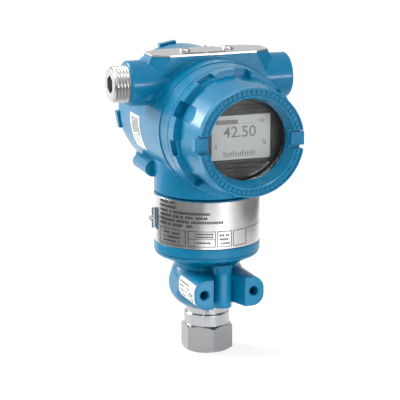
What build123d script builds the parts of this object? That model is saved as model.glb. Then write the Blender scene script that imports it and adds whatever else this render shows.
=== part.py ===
from build123d import *
import os
from math import cos, radians, sin, sqrt

# In-line pressure transmitter with a round display window, millimetres.
# +Z runs up the process axis, the display looks along -Y and the conduits run along X.
# The origin is the centre of the hexagon's bottom face, at the mouth of the process thread.

os.makedirs("parts", exist_ok=True)

# Clearances
body_gap = 0.3
running_fit = 0.05
screw_fit = 0.05
drop_fit = 0.1

# Process connection: hexagon, collar, polished neck and the spigot inside the casting
hex_flats = 27.0
hex_turn = 25.0
hex_height = 16.0
hex_face_radius = 12.9
hex_cone_width = 3.0
hex_cone_height = 1.8
collar_radius = 13.35
collar_height = 7.0
collar_chamfer = 0.5
neck_radius = 12.3
neck_height = 3.8
spigot_radius = 11.0
spigot_height = 7.0
process_bore_radius = 9.35
process_bore_depth = 17.0
lip_radius = 7.5
lip_height = 3.0
cell_bore_radius = 9.0

# Sensor cell and its isolating diaphragm
diaphragm_thickness = 0.4
diaphragm_ridge = 0.25
ridge_width = 0.5
ridge_radii = (2.6, 5.2)
cell_height = 10.0
stem_radius = 4.0
stem_chamfer = 0.5

# Sensor casting: ball, mounting lugs, centre column, cone and drum
ball_radius = 22.4
ball_foot_radius = 12.9
ball_centre_height = 13.2
ball_lower_radius = 18.7
ball_lower_rise = 4.0
ball_upper_radius = 21.5
ball_upper_rise = 19.0
waist_radius = 19.4
waist_rise = 24.6
waist_curve_radius = 19.8
waist_curve_rise = 2.0
cone_foot_radius = 21.4
cone_foot_rise = 3.2
cone_top_radius = 28.6
cone_rise = 3.6
rim_radius = 30.5
rim_curve_radius = 30.0
rim_curve_rise = 0.9
groove_rise = 2.4
groove_width = 0.6
groove_depth = 0.9
drum_radius = 31.0
shoulder_rise = 6.0
drum_rise = 28.4
flat_half_width = 20.9
lug_front = 38.1
lug_half_height = 8.6
lug_axis_rise = 15.8
lug_inner = 9.6
lug_root_inner = 4.6
lug_root_depth = 22.0
lug_corner_radius = 7.0
lug_hole_spacing = 30.0
lug_hole_radius = 2.5
lug_hole_depth = 12.0
lug_hole_chamfer = 0.6
column_radius = 5.3
column_front = 31.6
column_foot_rise = 5.0
column_sink = 1.5
drum_floor_drop = 4.6
board_ledge_rise = 14.0
board_ledge_radius = 22.0
drum_bore_radius = 25.0
drum_mouth_radius = 26.0

# Sensor board and the threaded neck that carries the housing
sensor_board_thickness = 1.6
chip_width = 7.0
chip_offset = 9.0
chip_height = 1.8
neck_flange_thickness = 4.0
module_neck_radius = 17.0
module_neck_height = 11.0
module_neck_bore = 8.0
module_neck_chamfer = 0.8
neck_seal_radius = 1.3
neck_seal_height = 3.6

# Nameplate band round the drum
band_thickness = 0.55
band_play = 0.05
band_height = 28.0
band_edge = 0.35
band_window_width = 3.6
band_window_height = 13.0
band_window_angle = 183.0
curl_radius = 1.35
curl_length = 12.0
curl_sink = 0.33
band_screw_radius = 1.1
band_screw_head_radius = 2.0
band_screw_head_height = 1.2

# Process label on the flat flank of the left lug
label_thickness = 0.15
label_length = 26.0
label_height = 11.4
label_front_margin = 1.2

# Housing: barrel, neck, top block, conduit bosses and the ground boss
neck_roof = 2.3
barrel_wall = 6.6
barrel_rear = 48.3
barrel_step = 25.0
barrel_nose = 36.5
nose_root_wall = 6.1
nose_wall = 5.4
rear_edge_radius = 1.0
cover_thread_radius = 31.0
cover_bore_length = 10.5
cavity_ledge = 2.5
bulkhead_front = 14.0
bulkhead_rear = 9.0
housing_neck_radius = 30.8
housing_neck_gap = 0.7
housing_neck_edge = 0.8
cable_hole_radius = 3.0
cable_hole_front = 15.0
block_proud = 1.6
block_foot_rise = 15.2
block_half_length = 35.4
block_foot_half_length = 48.0
block_depth = 24.8
block_centre = 0.3
block_corner_length = 9.3
block_corner_depth = 5.9
boss_radius = 13.1
boss_end = 49.0
boss_drop = 15.6
boss_axis_depth = 0.5
boss_chamfer = 0.9
conduit_thread_radius = 9.35
conduit_thread_length = 18.0
conduit_way_radius = 8.0
conduit_way_inner = 15.0
plug_thread_radius = 10.66
ground_boss_angle = 42.96
ground_boss_gap = 0.27
ground_boss_root = 4.7
ground_boss_tip = 4.3
ground_boss_rear = 32.0
ground_boss_front = 7.0

# Screws in the housing
ground_thread_radius = 2.0
ground_thread_length = 10.0
ground_head_radius = 3.4
ground_head_height = 2.6
ground_head_round = 1.5
ground_washer_radius = 3.8
ground_washer_thickness = 1.0
set_screw_radius = 2.0
set_screw_length = 8.0
set_screw_socket = 1.9
set_screw_socket_depth = 2.6
set_screw_height = 6.5
set_screw_clear = 0.3

# Tag plate, its two screws and the two push buttons beneath it
tag_thickness = 1.1
tag_inset = 0.15
tag_screw_spacing = 26.0
tag_screw_depth = 0.8
tag_screw_radius = 1.5
tag_screw_length = 7.0
tag_screw_head_radius = 3.2
tag_screw_head_height = 1.7
tag_screw_head_round = 1.2
cross_slot_length = 3.5
tag_screw_play = 0.1
tag_seat_play = 0.1
tag_hole_play = 0.2
tag_slot_sweep = 42.0
button_spacing = 9.0
button_radius = 2.9
button_length = 5.0
button_chamfer = 0.4
button_recess = 0.5
button_travel = 1.5
button_fit = 0.08
button_spring_height = 2.4
button_spring_wire = 0.35
button_spring_turns = 3
button_spring_pitch = 0.68
button_spring_radius = 2.1
cross_slot_width = 0.9
cross_slot_depth = 0.8

# Conduit plug with its hexagon socket
plug_face = 58.2
plug_length = 22.0
plug_pitch = 1.814
plug_groove = 0.75
plug_ridges = 5
plug_socket_flats = 9.5
plug_socket_depth = 9.0
plug_face_chamfer = 1.2

# Housing label on the left flank
housing_label_front = 10.0
housing_label_width = 17.0
housing_label_angle = 176.5
housing_label_turn_angle = 32.0
label_play = 0.02

# Display cover
flange_front = 46.0
flange_step = 3.4
notch_count = 10
notch_first = 10.0
notch_width = 9.3
notch_depth = 2.5
notch_rear = 40.3
pocket_depth = 5.0
pocket_reach = 62.0
cone_nose_radius = 30.1
ring_radius = 30.5
ring_rear = 68.6
ring_front = 73.8
ring_relief = 0.35
ring_relief_width = 0.5
ring_bore_radius = 25.0
window_depth = 9.6
channel_outer = 29.5
channel_inner = 26.1
channel_depth = 0.9
ribs_each_side = 27
rib_length = 2.3
rib_width = 1.2
rib_height = 0.8
rib_free_angle = 14.0
ear_gap = 10.6
ear_width = 7.5
ear_reach = 32.0
ear_set_back = 4.2
ear_inner = 24.2
ear_length = 5.0
ear_floor_step = 1.5
glass_ledge = 2.3
glass_lap = 2.8
glass_thickness = 6.0
glass_chamfer = 0.3
retainer_thickness = 1.2
retainer_width = 1.9
cover_wall = 3.2
spigot_length = 9.5
cover_edge = 0.4
seal_radius = 1.0
seal_land = 1.9
seal_groove_play = 0.25

# Display, electronics and terminal block
can_play = 1.5
can_front = 32.4
can_round = 1.5
board_thickness = 1.6
board_play = 1.1
display_play = 1.9
display_front = 54.0
display_screen_width = 35.0
display_screen_height = 25.0
screen_thickness = 1.2
screen_play = 0.1
screen_corner = 1.0
bezel_lip = 1.6
bezel_ridge_height = 0.8
bezel_margin = 2.0
bezel_ridge_width = 1.2
bezel_ridge_offsets = (15.0, 17.6, 20.2)
terminal_play = 2.5
terminal_depth = 20.0
terminal_rise = 9.2
terminal_pocket_width = 9.0
terminal_pocket_height = 13.0
terminal_pocket_depth = 4.0
terminal_pitch = 13.0
terminal_screw_drop = 8.8
terminal_thread_radius = 1.6
terminal_thread_length = 7.0
terminal_head_radius = 3.2
terminal_head_height = 2.2
terminal_head_round = 0.9
inner_ground_angle = 39.6
inner_ground_gap = 0.7
inner_ground_length = 4.0

# Rear cover
rear_flange_wall = 5.6
rear_flange_step = 3.2
rear_flange_length = 4.9
rear_lug_count = 8
rear_lug_first = -10.0
rear_lug_stand = 2.0
rear_lug_width = 10.2
rear_lug_thickness = 4.0
rear_lug_length = 4.2
rear_dome_length = 3.6
rear_dish_radius = 24.0
rear_dish_depth = 2.2
rear_wall = 3.6
rear_ear_width = 7.5
rear_ear_set_back = 1.6

# Radii worked out from the thread of the covers
barrel_radius = cover_thread_radius + barrel_wall
nose_root_radius = cover_thread_radius + nose_root_wall
nose_radius = cover_thread_radius + nose_wall
cavity_radius = cover_thread_radius - cavity_ledge
flange_radius = nose_radius
cone_root_radius = flange_radius - flange_step
notch_floor = flange_radius - notch_depth
pocket_floor = flange_radius - pocket_depth
cover_cavity_radius = cover_thread_radius - cover_wall
glass_radius = cover_cavity_radius - glass_ledge
retainer_inner = glass_radius - retainer_width
window_radius = glass_radius - glass_lap
seal_centre_radius = cover_thread_radius + seal_land
can_radius = cavity_radius - can_play
board_radius = cavity_radius - board_play
display_radius = cavity_radius - display_play
bezel_ridge_reach = display_radius - bezel_margin
terminal_radius = cavity_radius - terminal_play
inner_ground_reach = cavity_radius - terminal_head_radius - inner_ground_gap
inner_ground_side = inner_ground_reach * cos(radians(inner_ground_angle))
rear_flange_radius = cover_thread_radius + rear_flange_wall
rear_lug_radius = rear_flange_radius + rear_lug_stand
rear_dome_radius = rear_flange_radius - rear_flange_step

# Heights and planes worked out from the sizes above
collar_top_height = hex_height + collar_height
casting_foot_height = collar_top_height + neck_height
spigot_top_height = casting_foot_height + spigot_height
diaphragm_height = process_bore_depth + lip_height
ball_lower_height = casting_foot_height + ball_lower_rise
ball_upper_height = casting_foot_height + ball_upper_rise
waist_height = casting_foot_height + waist_rise
waist_curve_height = waist_height + waist_curve_rise
cone_foot_height = waist_height + cone_foot_rise
cone_top_height = cone_foot_height + cone_rise
rim_curve_height = cone_top_height + rim_curve_rise
groove_height = cone_top_height + groove_rise
drum_shoulder_height = groove_height + shoulder_rise
drum_top_height = drum_shoulder_height + drum_rise
drum_floor_height = drum_shoulder_height - drum_floor_drop
board_ledge_height = drum_floor_height + board_ledge_rise
lug_axis_height = casting_foot_height + lug_axis_rise
column_foot = casting_foot_height + column_foot_rise
column_top = cone_top_height - column_sink
band_foot_height = drum_shoulder_height + band_edge
band_inner_radius = drum_radius - band_thickness
drum_skin_radius = band_inner_radius - band_play
neck_top_height = drum_top_height + module_neck_height
housing_foot_height = drum_top_height + housing_neck_gap
barrel_axis_height = neck_top_height + neck_roof + cavity_radius
block_top_height = barrel_axis_height + barrel_radius + block_proud
block_foot_height = barrel_axis_height + block_foot_rise
boss_axis_height = block_top_height - boss_drop
ground_boss_reach = barrel_radius + ground_washer_radius + ground_boss_gap
ground_boss_side = ground_boss_reach * cos(radians(ground_boss_angle))
ground_boss_height = barrel_axis_height - ground_boss_reach * sin(radians(ground_boss_angle))
terminal_top = barrel_axis_height + terminal_rise
terminal_screw_height = barrel_axis_height - terminal_screw_drop
inner_ground_height = barrel_axis_height + inner_ground_reach * sin(radians(inner_ground_angle))
flange_rear = barrel_nose + body_gap
seal_groove_depth = 2 * seal_radius - 2 * running_fit
rear_flange_front = barrel_rear + body_gap
rear_flange_rear = rear_flange_front + rear_flange_length
rear_face = rear_flange_rear + rear_dome_length
tag_screw_side = tag_screw_spacing / 2
tag_bottom_height = block_top_height + tag_seat_play
tag_top_height = tag_bottom_height + tag_thickness
button_top_height = block_top_height - button_recess
button_foot_height = button_top_height - button_length
button_floor_height = button_foot_height - button_travel - body_gap - button_spring_height
window_plane = ring_front - window_depth
glass_rear = window_plane - glass_thickness
retainer_rear = glass_rear - retainer_thickness
barrel_axis = Axis((0, 0, barrel_axis_height), (0, 1, 0))
boss_axis = Axis((0, boss_axis_depth, boss_axis_height), (1, 0, 0))
boss_plane = Plane((0, boss_axis_depth, boss_axis_height), x_dir=(0, 1, 0), z_dir=(1, 0, 0))
mouth_plane = Plane((0, 0, barrel_axis_height), x_dir=(1, 0, 0), z_dir=(0, -1, 0))
back_plane = Plane((0, 0, barrel_axis_height), x_dir=(-1, 0, 0), z_dir=(0, 1, 0))


# Process connection, one bar turned and milled from stainless steel
with BuildPart() as process_connection:
    with BuildSketch(Plane.XY):
        RegularPolygon(radius=hex_flats / 2, side_count=6, major_radius=False, rotation=hex_turn)
    extrude(amount=hex_height)
    # The corners of the hexagon are turned off top and bottom
    with BuildSketch(Plane.XZ):
        with BuildLine():
            Polyline(
                (0, 0),
                (hex_face_radius, 0),
                (hex_face_radius + hex_cone_width, hex_cone_height),
                (hex_face_radius + hex_cone_width, hex_height - hex_cone_height),
                (hex_face_radius, hex_height),
                (0, hex_height),
                close=True,
            )
        make_face()
    revolve(axis=Axis.Z, mode=Mode.INTERSECT)
    with BuildSketch(Plane.XZ):
        with BuildLine():
            Polyline(
                (0, hex_height - hex_cone_height),
                (collar_radius - collar_chamfer, hex_height - hex_cone_height),
                (collar_radius - collar_chamfer, hex_height),
                (collar_radius, hex_height),
                (collar_radius, collar_top_height - collar_chamfer),
                (collar_radius - collar_chamfer, collar_top_height),
                (neck_radius, collar_top_height),
                (neck_radius, casting_foot_height),
                (spigot_radius, casting_foot_height),
                (spigot_radius, spigot_top_height),
                (0, spigot_top_height),
                close=True,
            )
        make_face()
    revolve(axis=Axis.Z)
    with BuildSketch(Plane.XZ):
        with BuildLine():
            Polyline(
                (0, 0),
                (process_bore_radius, 0),
                (process_bore_radius, process_bore_depth),
                (lip_radius, process_bore_depth),
                (lip_radius, diaphragm_height),
                (cell_bore_radius, diaphragm_height),
                (cell_bore_radius, spigot_top_height),
                (0, spigot_top_height),
                close=True,
            )
        make_face()
    revolve(axis=Axis.Z, mode=Mode.SUBTRACT)
process_connection.part.label = "process_connection"
export_step(process_connection.part, "parts/process_connection.step")

# Isolating diaphragm, a thin disc with two pressed ridges
with BuildPart() as isolating_diaphragm:
    with BuildSketch(Plane.XY.offset(diaphragm_height)):
        Circle(cell_bore_radius - screw_fit)
    extrude(amount=diaphragm_thickness)
    for ridge_radius in ridge_radii:
        with BuildSketch(Plane.XY.offset(diaphragm_height)):
            Circle(ridge_radius + ridge_width)
            Circle(ridge_radius, mode=Mode.SUBTRACT)
        extrude(amount=-diaphragm_ridge)
isolating_diaphragm.part.label = "isolating_diaphragm"
export_step(isolating_diaphragm.part, "parts/isolating_diaphragm.step")

# Sensor cell with the stem that carries its leads
cell_foot_height = diaphragm_height + diaphragm_thickness
with BuildPart() as sensor_cell:
    with BuildSketch(Plane.XY.offset(cell_foot_height)):
        Circle(cell_bore_radius - screw_fit)
    extrude(amount=cell_height)
    with BuildSketch(Plane.XY.offset(cell_foot_height + cell_height)):
        Circle(stem_radius)
    extrude(amount=drum_floor_height - cell_foot_height - cell_height)
    chamfer(sensor_cell.edges().filter_by(GeomType.CIRCLE).sort_by(Axis.Z)[-1], stem_chamfer)
sensor_cell.part.label = "sensor_cell"
export_step(sensor_cell.part, "parts/sensor_cell.step")

# Sensor casting: ball, cone and drum are turned forms, lugs and column are cast on
with BuildPart() as sensor_casting:
    with BuildSketch(Plane.XZ):
        with BuildLine():
            foot = (ball_foot_radius, casting_foot_height)
            ball_side = (ball_radius, casting_foot_height + ball_centre_height)
            waist = (waist_radius, waist_height)
            ThreePointArc(foot, (ball_lower_radius, ball_lower_height), ball_side)
            ThreePointArc(ball_side, (ball_upper_radius, ball_upper_height), waist)
            cone_foot = (cone_foot_radius, cone_foot_height)
            ThreePointArc(waist, (waist_curve_radius, waist_curve_height), cone_foot)
            Line(cone_foot, (cone_top_radius, cone_top_height))
            ThreePointArc(
                (cone_top_radius, cone_top_height),
                (rim_curve_radius, rim_curve_height),
                (rim_radius, groove_height),
            )
            Polyline(
                (rim_radius, groove_height),
                (drum_radius - groove_depth, groove_height),
                (drum_radius - groove_depth, groove_height + groove_width),
                (drum_radius, groove_height + groove_width),
                (drum_radius, drum_shoulder_height),
                (drum_skin_radius, drum_shoulder_height),
                (drum_skin_radius, drum_top_height),
                (0, drum_top_height),
                (0, casting_foot_height),
                (ball_foot_radius, casting_foot_height),
            )
        make_face()
    revolve(axis=Axis.Z)
    # The flanks of the ball are flat, in line with the outer faces of the lugs
    with BuildSketch(Plane.XY.offset(casting_foot_height)):
        with Locations((-flat_half_width - ball_radius, 0), (flat_half_width + ball_radius, 0)):
            Rectangle(2 * ball_radius, 4 * ball_radius)
    extrude(amount=waist_height - casting_foot_height, mode=Mode.SUBTRACT)
    # Lugs: a section with rounded outer corners, tapering inwards to the face
    for side in (-1, 1):
        with BuildSketch(Plane.XZ) as lug_section:
            with Locations((side * (flat_half_width + lug_root_inner) / 2, lug_axis_height)):
                Rectangle(flat_half_width - lug_root_inner, 2 * lug_half_height)
            fillet(lug_section.vertices().sort_by(Axis.X)[::side][-2:], lug_corner_radius)
        extrude(amount=lug_front)
        with BuildSketch(Plane.XY.offset(lug_axis_height - lug_half_height)):
            with BuildLine():
                Polyline(
                    (side * lug_inner, -lug_front),
                    (side * lug_root_inner, -lug_root_depth),
                    (side * lug_root_inner, -lug_front),
                    close=True,
                )
            make_face()
        extrude(amount=2 * lug_half_height, mode=Mode.SUBTRACT)
    # Centre column between the lugs, its top leaning back to the cone
    with BuildSketch(Plane.XY.offset(column_foot)):
        with Locations((0, column_radius - column_front)):
            Circle(column_radius)
        with Locations((0, -column_front / 2)):
            Rectangle(2 * column_radius, column_front - 2 * column_radius)
    extrude(amount=column_top - column_foot)
    with BuildSketch(Plane.XZ):
        with BuildLine():
            Polyline(
                (column_front, waist_height),
                (drum_radius + column_radius, waist_height),
                (drum_radius + column_radius, cone_top_height),
                (cone_top_radius, cone_top_height),
                close=True,
            )
        make_face()
    revolve(axis=Axis.Z, mode=Mode.SUBTRACT)
    # Tapped mounting holes in the lug faces
    hole_plane = Plane((0, -lug_front, lug_axis_height), x_dir=(1, 0, 0), z_dir=(0, -1, 0))
    with Locations(hole_plane):
        with GridLocations(lug_hole_spacing, 1, 2, 1):
            CounterSinkHole(
                radius=lug_hole_radius,
                counter_sink_radius=lug_hole_radius + lug_hole_chamfer,
                depth=lug_hole_depth,
                counter_sink_angle=90,
            )
    # Bores for the spigot, the stem, the board ledge and the threaded neck
    with BuildSketch(Plane.XZ):
        with BuildLine():
            Polyline(
                (0, casting_foot_height),
                (spigot_radius, casting_foot_height),
                (spigot_radius, spigot_top_height),
                (stem_radius + screw_fit, spigot_top_height),
                (stem_radius + screw_fit, drum_floor_height),
                (board_ledge_radius, drum_floor_height),
                (board_ledge_radius, board_ledge_height),
                (drum_bore_radius, board_ledge_height),
                (drum_bore_radius, drum_top_height - neck_flange_thickness),
                (drum_mouth_radius, drum_top_height - neck_flange_thickness),
                (drum_mouth_radius, drum_top_height),
                (0, drum_top_height),
                close=True,
            )
        make_face()
    revolve(axis=Axis.Z, mode=Mode.SUBTRACT)
sensor_casting.part.label = "sensor_casting"
export_step(sensor_casting.part, "parts/sensor_casting.step")

# Round sensor board on the ledge inside the drum
with BuildPart() as sensor_board:
    with BuildSketch(Plane.XY.offset(board_ledge_height)):
        Circle(drum_bore_radius - drop_fit)
    extrude(amount=sensor_board_thickness)
    with BuildSketch(Plane.XY.offset(board_ledge_height + sensor_board_thickness)):
        with Locations((-chip_offset, chip_offset / 2)):
            Rectangle(chip_width, chip_width)
        with Locations((chip_offset, -chip_offset / 2)):
            Rectangle(chip_width, chip_width * 2)
    extrude(amount=chip_height)
sensor_board.part.label = "sensor_board"
export_step(sensor_board.part, "parts/sensor_board.step")

# Threaded neck screwed to the top of the drum
groove_foot = drum_top_height + neck_seal_height - neck_seal_radius - running_fit
groove_top = drum_top_height + neck_seal_height + neck_seal_radius + running_fit
groove_root_radius = module_neck_radius - 2 * neck_seal_radius
with BuildPart() as module_neck:
    with BuildSketch(Plane.XZ):
        with BuildLine():
            Polyline(
                (module_neck_bore, drum_top_height - neck_flange_thickness),
                (drum_mouth_radius - screw_fit, drum_top_height - neck_flange_thickness),
                (drum_mouth_radius - screw_fit, drum_top_height),
                (module_neck_radius, drum_top_height),
                (module_neck_radius, groove_foot),
                (groove_root_radius, groove_foot),
                (groove_root_radius, groove_top),
                (module_neck_radius, groove_top),
                (module_neck_radius, neck_top_height - module_neck_chamfer),
                (module_neck_radius - module_neck_chamfer, neck_top_height),
                (module_neck_bore, neck_top_height),
                close=True,
            )
        make_face()
    revolve(axis=Axis.Z)
module_neck.part.label = "module_neck"
export_step(module_neck.part, "parts/module_neck.step")

# Seal ring in the groove of the neck
with BuildPart() as neck_seal:
    with BuildSketch(Plane.XZ):
        with Locations((module_neck_radius - neck_seal_radius, drum_top_height + neck_seal_height)):
            Circle(neck_seal_radius - running_fit)
    revolve(axis=Axis.Z)
neck_seal.part.label = "neck_seal"
export_step(neck_seal.part, "parts/neck_seal.step")

# Nameplate band: sheet steel wrapped round the drum, with a window and a curled tab
with BuildPart() as nameplate_band:
    with BuildSketch(Plane.XY.offset(band_foot_height)):
        Circle(drum_radius)
        Circle(band_inner_radius, mode=Mode.SUBTRACT)
    extrude(amount=band_height - 2 * band_edge)
    window_plane_angle = Plane(
        (0, 0, band_foot_height + band_height / 2),
        x_dir=(-sin(radians(band_window_angle)), cos(radians(band_window_angle)), 0),
        z_dir=(cos(radians(band_window_angle)), sin(radians(band_window_angle)), 0),
    )
    with BuildSketch(window_plane_angle):
        Rectangle(band_window_width, band_window_height)
    extrude(amount=drum_radius + body_gap, mode=Mode.SUBTRACT)
    curl_side = -(band_window_width / 2 + curl_radius)
    curl_plane = window_plane_angle.offset(drum_radius + curl_radius - curl_sink)
    curl_base = Plane(
        curl_plane.from_local_coords((curl_side, -curl_length / 2, 0)),
        x_dir=curl_plane.x_dir,
        z_dir=curl_plane.y_dir,
    )
    with BuildSketch(curl_base):
        Circle(curl_radius)
    extrude(amount=curl_length)
    screw_plane = Plane(
        curl_plane.from_local_coords((curl_side, 0, 0)),
        x_dir=curl_plane.y_dir,
        z_dir=curl_plane.z_dir,
    )
    with BuildSketch(screw_plane):
        Circle(band_screw_radius + screw_fit)
    extrude(amount=2 * curl_radius, both=True, mode=Mode.SUBTRACT)
nameplate_band.part.label = "nameplate_band"
export_step(nameplate_band.part, "parts/nameplate_band.step")

# Band screw through the curled tab
with BuildPart() as band_screw:
    with BuildSketch(screw_plane.offset(-curl_radius)):
        Circle(band_screw_radius)
    extrude(amount=2 * curl_radius)
    with BuildSketch(screw_plane.offset(curl_radius)):
        Circle(band_screw_head_radius)
    extrude(amount=band_screw_head_height)
    fillet(band_screw.edges().filter_by(GeomType.CIRCLE).sort_by(Axis.X)[0], band_screw_head_height / 2)
band_screw.part.label = "band_screw"
export_step(band_screw.part, "parts/band_screw.step")

# Process label, laid over the rounded flank of the left lug
with BuildPart() as process_label:
    label_end = lug_front - label_front_margin
    with BuildSketch(Plane.XZ.offset(label_end - label_length)):
        with Locations((0, lug_axis_height)):
            RectangleRounded(
                2 * (flat_half_width + label_play + label_thickness),
                2 * (lug_half_height + label_play + label_thickness),
                lug_corner_radius + label_play + label_thickness,
            )
            RectangleRounded(
                2 * (flat_half_width + label_play),
                2 * (lug_half_height + label_play),
                lug_corner_radius + label_play,
                mode=Mode.SUBTRACT,
            )
        with Locations((-flat_half_width, lug_axis_height)):
            Rectangle(2 * lug_corner_radius, label_height, mode=Mode.INTERSECT)
    extrude(amount=label_length)
process_label.part.label = "process_label"
export_step(process_label.part, "parts/process_label.step")


def block_outline(half_length):
    # Long octagon seen from above, with its four corners cut off
    half_depth = block_depth / 2
    side = half_length - block_corner_length
    end = half_depth - block_corner_depth
    return [
        (-side, block_centre - half_depth),
        (side, block_centre - half_depth),
        (half_length, block_centre - end),
        (half_length, block_centre + end),
        (side, block_centre + half_depth),
        (-side, block_centre + half_depth),
        (-half_length, block_centre + end),
        (-half_length, block_centre - end),
    ]


# Housing, one aluminium casting: barrel, neck, top block, conduit bosses and ground boss
with BuildPart() as housing:
    # Top block that carries the tag plate, spreading downwards over the bosses
    for height, half_length in (
        (block_foot_height, block_foot_half_length),
        (block_top_height, block_half_length),
    ):
        with BuildSketch(Plane.XY.offset(height)):
            Polygon(*block_outline(half_length), align=None)
    loft(ruled=True)
    # Conduit bosses
    with BuildSketch(boss_plane):
        Circle(boss_radius)
    extrude(amount=boss_end, both=True)
    boss_rims = housing.edges().filter_by(GeomType.CIRCLE).filter_by(
        lambda edge: abs(edge.center().X) > boss_end - body_gap
    )
    chamfer(boss_rims, boss_chamfer)
    # Barrel with its slightly smaller nose towards the display cover
    with BuildSketch(Plane.YZ):
        with BuildLine():
            Polyline(
                (-barrel_nose, barrel_axis_height),
                (-barrel_nose, barrel_axis_height + nose_radius),
                (-barrel_step, barrel_axis_height + nose_root_radius),
                (-barrel_step, barrel_axis_height + barrel_radius),
                (barrel_rear - rear_edge_radius, barrel_axis_height + barrel_radius),
                (barrel_rear, barrel_axis_height + barrel_radius - rear_edge_radius),
                (barrel_rear, barrel_axis_height),
                close=True,
            )
        make_face()
    revolve(axis=barrel_axis)
    # Neck that stands over the sensor drum
    with BuildSketch(Plane.XY.offset(housing_foot_height)):
        Circle(housing_neck_radius)
    extrude(amount=barrel_axis_height - housing_foot_height)
    neck_rim = housing.edges().filter_by(GeomType.CIRCLE).sort_by(Axis.Z)[0]
    chamfer(neck_rim, housing_neck_edge)
    # Ground boss beside the neck, grown onto the underside of the barrel
    for depth, radius in ((ground_boss_front, ground_boss_root), (ground_boss_rear, ground_boss_tip)):
        with BuildSketch(Plane.XZ.offset(-depth)):
            with Locations((-ground_boss_side, ground_boss_height)):
                Circle(radius)
    loft()
    # Front and rear compartments either side of the bulkhead
    with BuildSketch(Plane.YZ):
        with BuildLine():
            Polyline(
                (-barrel_nose, barrel_axis_height),
                (-barrel_nose, barrel_axis_height + cover_thread_radius + running_fit),
                (cover_bore_length - barrel_nose, barrel_axis_height + cover_thread_radius + running_fit),
                (cover_bore_length - barrel_nose, barrel_axis_height + cavity_radius),
                (-bulkhead_front, barrel_axis_height + cavity_radius),
                (-bulkhead_front, barrel_axis_height),
                close=True,
            )
        make_face()
        with BuildLine():
            Polyline(
                (barrel_rear, barrel_axis_height),
                (barrel_rear, barrel_axis_height + cover_thread_radius + running_fit),
                (barrel_rear - cover_bore_length, barrel_axis_height + cover_thread_radius + running_fit),
                (barrel_rear - cover_bore_length, barrel_axis_height + cavity_radius),
                (-bulkhead_rear, barrel_axis_height + cavity_radius),
                (-bulkhead_rear, barrel_axis_height),
                close=True,
            )
        make_face()
    revolve(axis=barrel_axis, mode=Mode.SUBTRACT)
    # Bore for the module neck and the small way for its cable
    with BuildSketch(Plane.XY.offset(housing_foot_height)):
        Circle(module_neck_radius + drop_fit)
    extrude(amount=neck_top_height + body_gap - housing_foot_height, mode=Mode.SUBTRACT)
    with BuildSketch(Plane.XY.offset(neck_top_height)):
        with Locations((0, -cable_hole_front)):
            Circle(cable_hole_radius)
    cavity_floor_height = barrel_axis_height - cavity_radius
    extrude(amount=cavity_floor_height + cable_hole_radius - neck_top_height, mode=Mode.SUBTRACT)
    # Conduit entries: threaded mouths and the narrower ways into the rear compartment
    with BuildSketch(boss_plane.offset(boss_end)):
        Circle(conduit_thread_radius)
    extrude(amount=-conduit_thread_length, mode=Mode.SUBTRACT)
    with BuildSketch(boss_plane.offset(-boss_end)):
        Circle(plug_thread_radius + screw_fit)
    extrude(amount=plug_length - plug_face + boss_end, mode=Mode.SUBTRACT)
    with BuildSketch(boss_plane.offset(conduit_way_inner)):
        Circle(conduit_way_radius)
    extrude(amount=boss_end - conduit_thread_length - conduit_way_inner, mode=Mode.SUBTRACT)
    with BuildSketch(boss_plane.offset(-conduit_way_inner)):
        Circle(conduit_way_radius)
    extrude(amount=conduit_way_inner - plug_face + plug_length, mode=Mode.SUBTRACT)
    # Holes under the tag plate for its screws and the two buttons
    with BuildSketch(Plane.XY.offset(block_top_height)):
        with Locations((0, block_centre)):
            with GridLocations(tag_screw_spacing, 1, 2, 1):
                Circle(tag_screw_radius + screw_fit)
    extrude(amount=-tag_screw_length, mode=Mode.SUBTRACT)
    with BuildSketch(Plane.XY.offset(block_top_height)):
        with Locations((0, block_centre)):
            with GridLocations(button_spacing, 1, 2, 1):
                Circle(button_radius + button_fit)
    extrude(amount=button_floor_height - block_top_height, mode=Mode.SUBTRACT)
    # Tapped holes for the ground screw, the rotation set screw and the inner ground screw
    with BuildSketch(Plane.XZ.offset(-ground_boss_rear)):
        with Locations((-ground_boss_side, ground_boss_height)):
            Circle(ground_thread_radius + screw_fit)
    extrude(amount=ground_thread_length, mode=Mode.SUBTRACT)
    with BuildSketch(Plane.XZ):
        with Locations((0, housing_foot_height + set_screw_height)):
            Circle(set_screw_radius + screw_fit)
    extrude(amount=-housing_neck_radius, mode=Mode.SUBTRACT)
    with BuildSketch(Plane.XZ.offset(bulkhead_rear)):
        with Locations((inner_ground_side, inner_ground_height)):
            Circle(terminal_thread_radius + screw_fit)
    extrude(amount=inner_ground_length, mode=Mode.SUBTRACT)
housing.part.label = "housing"
export_step(housing.part, "parts/housing.step")

# Housing label on the left flank of the barrel
with BuildPart() as housing_label:
    with BuildSketch(mouth_plane.offset(-housing_label_front)):
        Circle(barrel_radius + label_play + label_thickness)
        Circle(barrel_radius + label_play, mode=Mode.SUBTRACT)
        reach = 2 * barrel_radius
        label_angles = (housing_label_angle, housing_label_angle + housing_label_turn_angle)
        Polygon(
            (0, 0),
            *[(reach * cos(radians(angle)), reach * sin(radians(angle))) for angle in label_angles],
            align=None,
            mode=Mode.INTERSECT,
        )
    extrude(amount=-housing_label_width)
housing_label.part.label = "housing_label"
export_step(housing_label.part, "parts/housing_label.step")

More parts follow.
